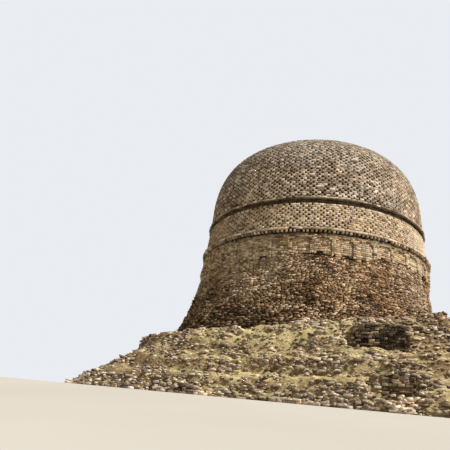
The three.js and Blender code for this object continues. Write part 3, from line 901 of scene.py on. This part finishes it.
def rubble():
    """Broken stones that stick out unevenly, on a face of mortar."""
    rng = seeded(510)
    azimuth, z, width, height = rubble_cells(rng).T
    kept = z < edge_at(azimuth) + 0.25
    azimuth, z, width, height = (v[kept] for v in (azimuth, z, width, height))
    count = len(z)
    points = spot(azimuth, RUBBLE_RADIUS, z)
    low_down = np.interp(z, RUBBLE_ZONES, [1.0, 0.8, 0.45, 0.25])
    rough = low_down * np.clip(0.6 + 0.5 * wander(points, 512, 1.6), 0.2, 1)
    depth = 0.4
    wide = width / 2 * rng.uniform(0.8, 1.05, count)
    half = halves(wide, height / 2 * rng.uniform(0.5, 0.92, count), depth / 2)
    face = rubble_face(azimuth, z + rng.normal(0, 0.02, count))
    face += rng.uniform(-0.12, 0.12, count) * (0.3 + rough)
    lean = 12 * wander(points, 516, 1.8)
    roll = rough * (rng.normal(0, 9, count) + lean)
    axes = tumbled(azimuth + rng.normal(0, 12, count) * rough, roll, rng.normal(0, 9, count) * rough)
    centre = spot(azimuth, face - depth / 2, z)
    patch = 0.13 * wander(points, 513, 2.6) + 0.08 * wander(points, 517, 1.0)
    pale = rng.uniform(size=count) < 0.17 + 0.2 * np.clip(5.5 - z, 0, 1)
    # Painted shade: below the fine upper zone the rubble is painted darker on the side away from the sun,
    # and it is also painted a little darker on the sunlit side
    painted_shade = radial(azimuth) @ SHADED_SIDE
    high_up = np.interp(z, [8.5, 10.5], [0, 1])
    tone = np.where(pale, rng.normal(0.82, 0.13, count), rng.normal(0.46, 0.17, count)) + patch
    tone += 0.1 * high_up - 0.32 * np.clip(painted_shade, 0, 1) ** 1.5 * (1 - high_up)
    tone -= 0.1 * np.clip(-painted_shade, 0, 1)
    hue = rng.uniform(0, 0.95, count) + 0.15 * wander(points, 514, 3.0)
    hue -= 0.3 * np.clip(low_down - 0.6, 0, 1)
    stones = Stones(centre, axes, half, tone, hue, 515, skew=0.15, rough=True)

    def bed(solids, side):
        turns = span(side, 61)
        top = edge_at(turns)[:, None] - 0.02
        heights = DRUM_FOOT + (top - DRUM_FOOT) * np.linspace(0, 1, 25)
        radii = rubble_face(np.repeat(turns, 25), heights.ravel()).reshape(heights.shape) - 0.14
        bedding(solids, turns, radii, heights)

    by_quadrant("rubble", (stones,), (RUBBLE, RUBBLE_BED), "rubble_band", bed)


rubble()


# Podium of earth and rubble

class BareWall:
    """The place of a stretch of old wall, read from its CAD node."""

    def __init__(self, name):
        self.name = name
        self.side = QUADRANTS.index(name.split("_")[2])
        low, high = (np.array(corner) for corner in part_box(name))
        self.low = low[2]
        self.high = high[2]
        along, distance = self.plan(*((low + high) / 2)[:2])
        size = high - low
        self.length, self.thickness = (size[0], size[1]) if self.side % 2 == 0 else (size[1], size[0])
        self.along = along
        self.face = distance + self.thickness / 2

    def plan(self, x, y):
        """How far along the side, and how far out from the axis, some places lie."""
        turn = math.radians(90 * self.side)
        return x * math.cos(turn) + y * math.sin(turn), x * math.sin(turn) - y * math.cos(turn)

    def depth_in(self, x, y):
        """How far inside the ends of the wall a place in front of it lies, below zero beside or behind."""
        along, distance = self.plan(x, y)
        return self.length / 2 - abs(along - self.along) if distance > self.face - 0.25 else -FAR


WALLS = [BareWall(name) for name in sorted(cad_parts) if name.startswith(("foot_wall_", "bare_wall_"))]
NICHES = [wall for wall in WALLS if wall.name.startswith("bare_wall_")]


def ledges(azimuth, z):
    """How far the slope has crept up or down into ledges."""
    points = spot(azimuth, SLOPE_RADIUS, z)
    phase = (z / LEDGE + 1.1 * wander(points, 601, 4.5, 0.2)) % 1.0
    strength = np.clip(0.5 + 0.9 * wander(points, 602, 2.6), 0, 1) * np.clip(z / 0.5, 0, 1)
    creep = np.where(phase < 0.7, 0.5 - phase / 0.7, (phase - 0.7) / 0.3 - 0.5)
    return LEDGE_RELIEF * strength * creep


def height_on(tree, x, y):
    """The height at which a ray from above meets a surface."""
    hit = tree.ray_cast(Vector((x, y, FAR)), DOWN)[0]
    return hit.z if hit else 0.0


def lie_of_land(x, y):
    """The podium's height at a place, with the niches of the bare walls open to the sky."""
    height = height_on(PODIUM_TREE, x, y)
    for wall in NICHES:
        ragged = 0.65 * float(wander(np.array([x, y, height]), 605, 1.2))
        opened = min(max((wall.depth_in(x, y) + ragged + NICHE_SPLAY) / NICHE_SPLAY, 0.0), 1.0)
        if height > wall.low:
            height += (wall.low - height) * opened
    return height


def stoniness(azimuth, z):
    """How thickly stones lie on the slope, from 0 to 1, in patches a few metres wide."""
    return np.clip(0.4 + 0.9 * wander(spot(azimuth, SLOPE_RADIUS, z), 621, 2.0, 2.0), 0, 1)


def off_front(azimuth):
    """Degrees from the front, below zero to the left."""
    return (azimuth + 180) % 360 - 180


def shelf(azimuth, z):
    """How much a place belongs to the grassy shelf just below the lip at the front."""
    return np.exp(-((off_front(azimuth) - 8) / 20) ** 2) * np.exp(-((z - 4.6) / 0.7) ** 2)


def scree(azimuth, z):
    """How much a place belongs to the broken stones that cover the slope's upper right."""
    return np.exp(-((off_front(azimuth) - 48) / 24) ** 2) * np.clip(z / 3.0 - 0.4, 0, 1)


def straw(azimuth, z):
    """How much dry grass covers the slope."""
    left = np.clip(-(off_front(azimuth) + 5) / 15, 0, 1)
    return 0.54 + 0.35 * shelf(azimuth, z) - 0.3 * scree(azimuth, z) - 0.24 * left


def earth_side(solids, side, rows=161, columns=72):
    """One side of the podium as uneven earth in ledges, following the CAD slope."""
    turns = span(side, rows)
    foot = face_from(PODIUM_TREE, turns, np.full(rows, 0.05), 19.0) + 0.04
    inner = cad_rubble(turns, np.full(rows, DRUM_FOOT + 1.2)) - 0.15
    share = np.linspace(0, 1, columns) ** 1.15
    radii = foot[:, None] + (inner - foot)[:, None] * share
    flat = spot(turns[:, None], radii, 0.0)
    z = np.array([lie_of_land(x, y) for x, y, _ in flat.reshape(-1, 3)]).reshape(radii.shape)
    z[:, -1] = z[:, -2]
    z = np.maximum(z, np.where(share > 0.65, DRUM_FOOT, 0.0))
    creep = ledges(np.broadcast_to(turns[:, None], z.shape), z)
    lumps = sum(size * wander(flat, seed, reach) for size, seed, reach in LUMPS)
    z = np.maximum(z + creep + lumps * np.clip(z / 0.4, 0, 1), 0.0)
    z[:, 0] = 0.0
    top = flat + UP * (z + 0.01)[..., None]
    grid = np.arange(rows * columns).reshape(rows, columns)
    under = rows * columns + np.arange(rows)
    quads = strips(
        (grid[:-1, :-1], grid[1:, :-1], grid[1:, 1:], grid[:-1, 1:]),
        (grid[:-1, -1], grid[1:, -1], under[1:], under[:-1]),
        (under[:-1], under[1:], grid[1:, 0], grid[:-1, 0]))
    places = (np.repeat(turns[:-1], columns - 1), z[:-1, :-1].ravel())
    tone = straw(*places) - 0.12 * stoniness(*places)
    tone = np.concatenate([tone, np.full(2 * (rows - 1), 0.3)])
    ends = ([*grid[0], under[0]], [under[-1], *grid[-1][::-1]])
    solids.add(np.concatenate([top.reshape(-1, 3), spot(turns, inner, 0.0)]), quads, tone, 0.5, ends=ends)


EARTH_TREE = tree_of(by_quadrant("podium_earth", (), (EARTH,), "podium", earth_side))


def stony_places(rng):
    """Places for loose stones on the earth, each with its heading and how level it lies.

    Rays find them on the sides of the niches, on the slopes, and on the lip from above.
    """
    niche_rays, slope_rays, lip_rays = 60, 64000, 1600
    places = []

    def note(hit, normal):
        if hit is None or any(wall.low < hit.z and wall.depth_in(hit.x, hit.y) > 0.4 for wall in NICHES):
            return
        places.append((*hit, math.degrees(math.atan2(normal.x, -normal.y)), normal.z))

    for wall in NICHES:
        along = tangent(90.0 * wall.side)
        out = radial(90.0 * wall.side)
        for _ in range(int(niche_rays * wall.length)):
            start = along * (wall.along + rng.uniform(-0.3, 0.3) * wall.length)
            start += out * (wall.face + rng.uniform(0, 1.3))
            start += UP * rng.uniform(wall.low, wall.high)
            for way in (along, -along):
                note(*EARTH_TREE.ray_cast(Vector(start), Vector(way), 3.0)[:2])
    azimuth = rng.uniform(-45, 315, slope_rays)
    z = rng.uniform(0.03, 7.2, slope_rays)
    share = 0.15 + 0.48 * stoniness(azimuth, z) + 0.2 * np.clip(1.1 - z, 0, 1) + 0.25 * scree(azimuth, z)
    share *= 1 - 0.75 * shelf(azimuth, z)
    chosen = rng.uniform(size=slope_rays) < share
    for ray, height in zip(radial(azimuth[chosen]), z[chosen]):
        note(*EARTH_TREE.ray_cast(Vector(ray * FAR + UP * height), Vector(-ray))[:2])
    for ray, radius in zip(radial(rng.uniform(-45, 315, lip_rays)), rng.uniform(12.5, 20, lip_rays)):
        note(*EARTH_TREE.ray_cast(Vector(ray * radius + UP * FAR), DOWN)[:2])
    return np.array(places)


def loose_stones():
    """Flat stones that stick out of the slopes."""
    rng = seeded(620)
    places = stony_places(rng)
    point = places[:, :3].copy()
    count = len(point)
    pick = rng.uniform(size=count)
    long = np.where(pick < 0.6, rng.uniform(0.05, 0.11, count), rng.uniform(0.1, 0.18, count))
    long = np.where(pick > 0.95, rng.uniform(0.18, 0.27, count), long)
    long *= np.where(point[:, 2] < 1.2, 1.15, 1.0)
    thick = np.clip(long * rng.uniform(0.2, 0.42, count), 0.022, 0.07)
    half = halves(long, thick, long * rng.uniform(0.6, 0.9, count))
    heading = places[:, 3] + rng.normal(0, 25, count)
    axes = tumbled(heading, rng.normal(0, 7, count), rng.normal(-3, 8, count))
    out_by = rng.uniform(0.2, 1.1, count) * np.where(places[:, 4] < 0.8, 1.0, 0.6)
    centre = point - axes[2] * (half[:, 2] * (0.85 - out_by))[:, None]
    centre[:, 2] = np.maximum(centre[:, 2], 0.8 * half[:, 1])
    limit = PODIUM_HALF - half.max(1) * 1.5
    for axis in (0, 1):
        centre[:, axis] = np.clip(centre[:, axis], -limit, limit)
    dull = rng.uniform(size=count) < 0.35
    tone = np.where(dull, rng.normal(0.26, 0.15, count), rng.normal(0.8, 0.2, count))
    hue = rng.uniform(0, 0.9, count) + 0.5 * scree(azimuth_of(point), point[:, 2])
    groups = []
    for chosen, seed, skew, rough in ((long > 0.2, 622, 0.2, False), (long <= 0.2, 623, 0.15, True)):
        turned = tuple(axis[chosen] for axis in axes)
        groups.append(Stones(centre[chosen], turned, half[chosen], tone[chosen], hue[chosen],
                             seed, skew, chamfer=0.16, rough=rough))
    by_quadrant("podium_stones", (*groups, heaps()), (LOOSE,))


def heaps():
    """Heaps of fallen stones at the foot, on the front where the photograph has them, one of them pale."""
    rng = seeded(640)
    stones_in_heap = 60
    rows = []
    for side in range(4):
        found = [(rng.uniform(-14, 14), rng.uniform(0.4, 0.8), 0.6) for _ in range(5)]
        for along, size, tone in FRONT_HEAPS if side == 0 else found:
            count = int(stones_in_heap * size)
            x = along + rng.normal(0, 0.5, count) * size
            out = PODIUM_HALF - 0.35 - np.abs(rng.normal(0, 0.5, count)) * size
            rows.append(np.broadcast_arrays(x, out, size, 90.0 * side, tone))
    x, out, size, heading, tone = np.concatenate(rows, 1)
    count = len(x)
    point = tangent(heading) * x[:, None] + radial(heading) * out[:, None]
    long = rng.uniform(0.08, 0.22, count)
    half = halves(long, np.clip(long * rng.uniform(0.25, 0.5, count), 0.03, 0.08), long * 0.8)
    for k, (east, north, _) in enumerate(point):
        point[k, 2] = height_on(EARTH_TREE, east, north) + half[k, 1] + rng.uniform(0, 0.3) * size[k]
    axes = tumbled(heading + rng.normal(0, 40, count), rng.normal(0, 14, count), rng.normal(0, 14, count))
    tone = tone + rng.normal(0, 0.15, count)
    return Stones(point, axes, half, tone, rng.uniform(0, 0.6, count), 641, skew=0.2, chamfer=0.2)


loose_stones()


# Low walls at the foot and bare stretches in the slope

def wall_stones(wall, seed, courses, widths, ragged, uneven, turn, tones):
    """A stretch of coursed wall, ragged along its top, in place of its CAD node."""
    rng = seeded(seed)
    cells = []
    z = wall.low
    while z < wall.high - 0.04:
        height = min(rng.uniform(*courses), wall.high - z)
        x = -wall.length / 2
        while x < wall.length / 2 - 0.05:
            width = min(rng.uniform(*widths), wall.length / 2 - x)
            cells.append((wall.along + x + width / 2, z + height / 2, width, height))
            x += width
        z += height
    x, z, width, height = np.array(cells).T
    lost = ragged * (0.5 + 0.6 * wander(np.stack([x, 0 * x, 0.2 * z], 1), seed + 1, 3.0))
    kept = z + height / 2 < wall.high - lost + 0.02
    x, z, width, height = (v[kept] for v in (x, z, width, height))
    count = len(x)
    depth = wall.thickness * 0.9
    half = halves(width / 2 - 0.012, height / 2 * rng.uniform(0.8, 0.98, count), depth / 2)
    distance = wall.face - 0.02 - rng.uniform(0.0, uneven, count) - depth / 2
    heading = np.full(count, 90.0 * wall.side)
    centre = tangent(heading) * x[:, None] + radial(heading) * distance[:, None] + UP * z[:, None]
    roll = rng.normal(0, turn * 0.4, count)
    tip = rng.normal(0, turn * 0.4, count)
    axes = tumbled(heading + rng.normal(0, turn, count), roll, tip)
    patch = wander(centre, seed + 3, 1.1)
    tone = rng.normal(*tones, count) + 0.3 * patch
    hue = rng.uniform(0, 1, count) + 0.4 * patch
    stones = Stones(centre, axes, half, tone, hue, seed + 2, skew=0.17, chamfer=0.25)
    solids = Solids()
    stones.pick(solids, np.ones(count, bool))
    piece = solids.build(f"{wall.name}_stones", (LOOSE,))
    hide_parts(wall.name)


for number, wall in enumerate(WALLS):
    if wall in NICHES:
        # Stones of the bare walls in the niches get dark tones: painted shade in the recesses
        wall_stones(wall, 700 + 10 * number, courses=(0.07, 0.15), widths=(0.15, 0.5),
                    ragged=0.25, uneven=0.28, turn=4.0, tones=(0.24, 0.24))
    else:
        wall_stones(wall, 700 + 10 * number, courses=(0.1, 0.2), widths=(0.22, 0.6),
                    ragged=1.15, uneven=0.12, turn=5.0, tones=(0.5, 0.24))

for name, material in (("drum_core", RUBBLE_BED), ("podium_bed", EARTH)):
    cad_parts[name].data.materials.clear()
    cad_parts[name].data.materials.append(material)


# Floor, light and camera

EYE = Vector((13.47, -46.295, -1.15))
EYE_HEADING = 28.0
EYE_PITCH = 22.7
EYE_ROLL = 6.5
LENS = 36.64
SUN_AZIMUTH = 82.0
SUN_ELEVATION = math.radians(48.0)
SUN_STRENGTH = 5.0
SUN_BREADTH = math.radians(4)
SURROUND_STRENGTH = 0.215
BACKDROP_STRENGTH = 0.95
FLOOR_REACH = 400.0
FLOOR_FALL = 0.105


def camera():
    """The photograph's view: from below, turned towards the left and rolled."""
    data = bpy.data.cameras.new("camera")
    data.lens = LENS
    data.clip_end = 2000
    seen_from = placed("camera", data)
    place = Matrix.Translation(EYE)
    for turn, axis in ((EYE_HEADING, "Z"), (90 + EYE_PITCH, "X"), (EYE_ROLL, "Z")):
        place = place @ Matrix.Rotation(math.radians(turn), 4, axis)
    seen_from.matrix_world = place
    bpy.context.scene.camera = seen_from


def floor():
    """A pale floor, level round the podium, that falls away in front of it as the ground there does."""
    start = -PODIUM_HALF - 0.4
    ys = (FLOOR_REACH, start, start - 1.0, start - 2.0, -FLOOR_REACH)
    falls = (0, 0, 0.4, 1.2, 1.2 + FLOOR_REACH + start - 2.0)
    xs = (-FLOOR_REACH, FLOOR_REACH)
    vertices = [(x, y, -FLOOR_FALL * fall - 0.005) for y, fall in zip(ys, falls) for x in xs]
    faces = [(low, low + 2, low + 3, low + 1) for low in range(0, len(vertices) - 2, 2)]
    mesh = bpy.data.meshes.new("floor")
    mesh.from_pydata(vertices, [], faces)
    nodes = Nodes("pale_floor")
    shade = nodes.ramp(nodes.noise(0.05, 3.0), [(0.3, srgb(196, 190, 178)), (0.7, srgb(204, 198, 187))])
    mesh.materials.append(nodes.finish(shade, 0.95, 0.1))
    plane = placed("floor", mesh)


def light():
    """A soft key from the upper right and an even pale surround."""
    data = bpy.data.lights.new("key", "SUN")
    data.energy = SUN_STRENGTH
    data.angle = SUN_BREADTH
    data.color = (1.0, 0.985, 0.955)
    key = placed("key", data)
    towards = Vector(radial(SUN_AZIMUTH) * math.cos(SUN_ELEVATION) + UP * math.sin(SUN_ELEVATION))
    key.rotation_euler = towards.to_track_quat("Z", "Y").to_euler()
    world = bpy.data.worlds.new("surround")
    bpy.context.scene.world = world
    world.use_nodes = True
    tree = world.node_tree
    path = tree.nodes.new("ShaderNodeLightPath")
    mixed = tree.nodes.new("ShaderNodeMixShader")
    tree.links.new(path.outputs["Is Camera Ray"], mixed.inputs["Fac"])
    surround = (tree.nodes["Background"], (1.0, 0.965, 0.92, 1), SURROUND_STRENGTH)
    backdrop = (tree.nodes.new("ShaderNodeBackground"), (0.86, 0.89, 0.93, 1), BACKDROP_STRENGTH)
    for number, (background, colour, strength) in enumerate((surround, backdrop), 1):
        background.inputs["Color"].default_value = colour
        background.inputs["Strength"].default_value = strength
        tree.links.new(background.outputs["Background"], mixed.inputs[number])
    tree.links.new(mixed.outputs["Shader"], tree.nodes["World Output"].inputs["Surface"])


camera()
floor()
light()
bpy.context.scene.view_settings.view_transform = "Standard"
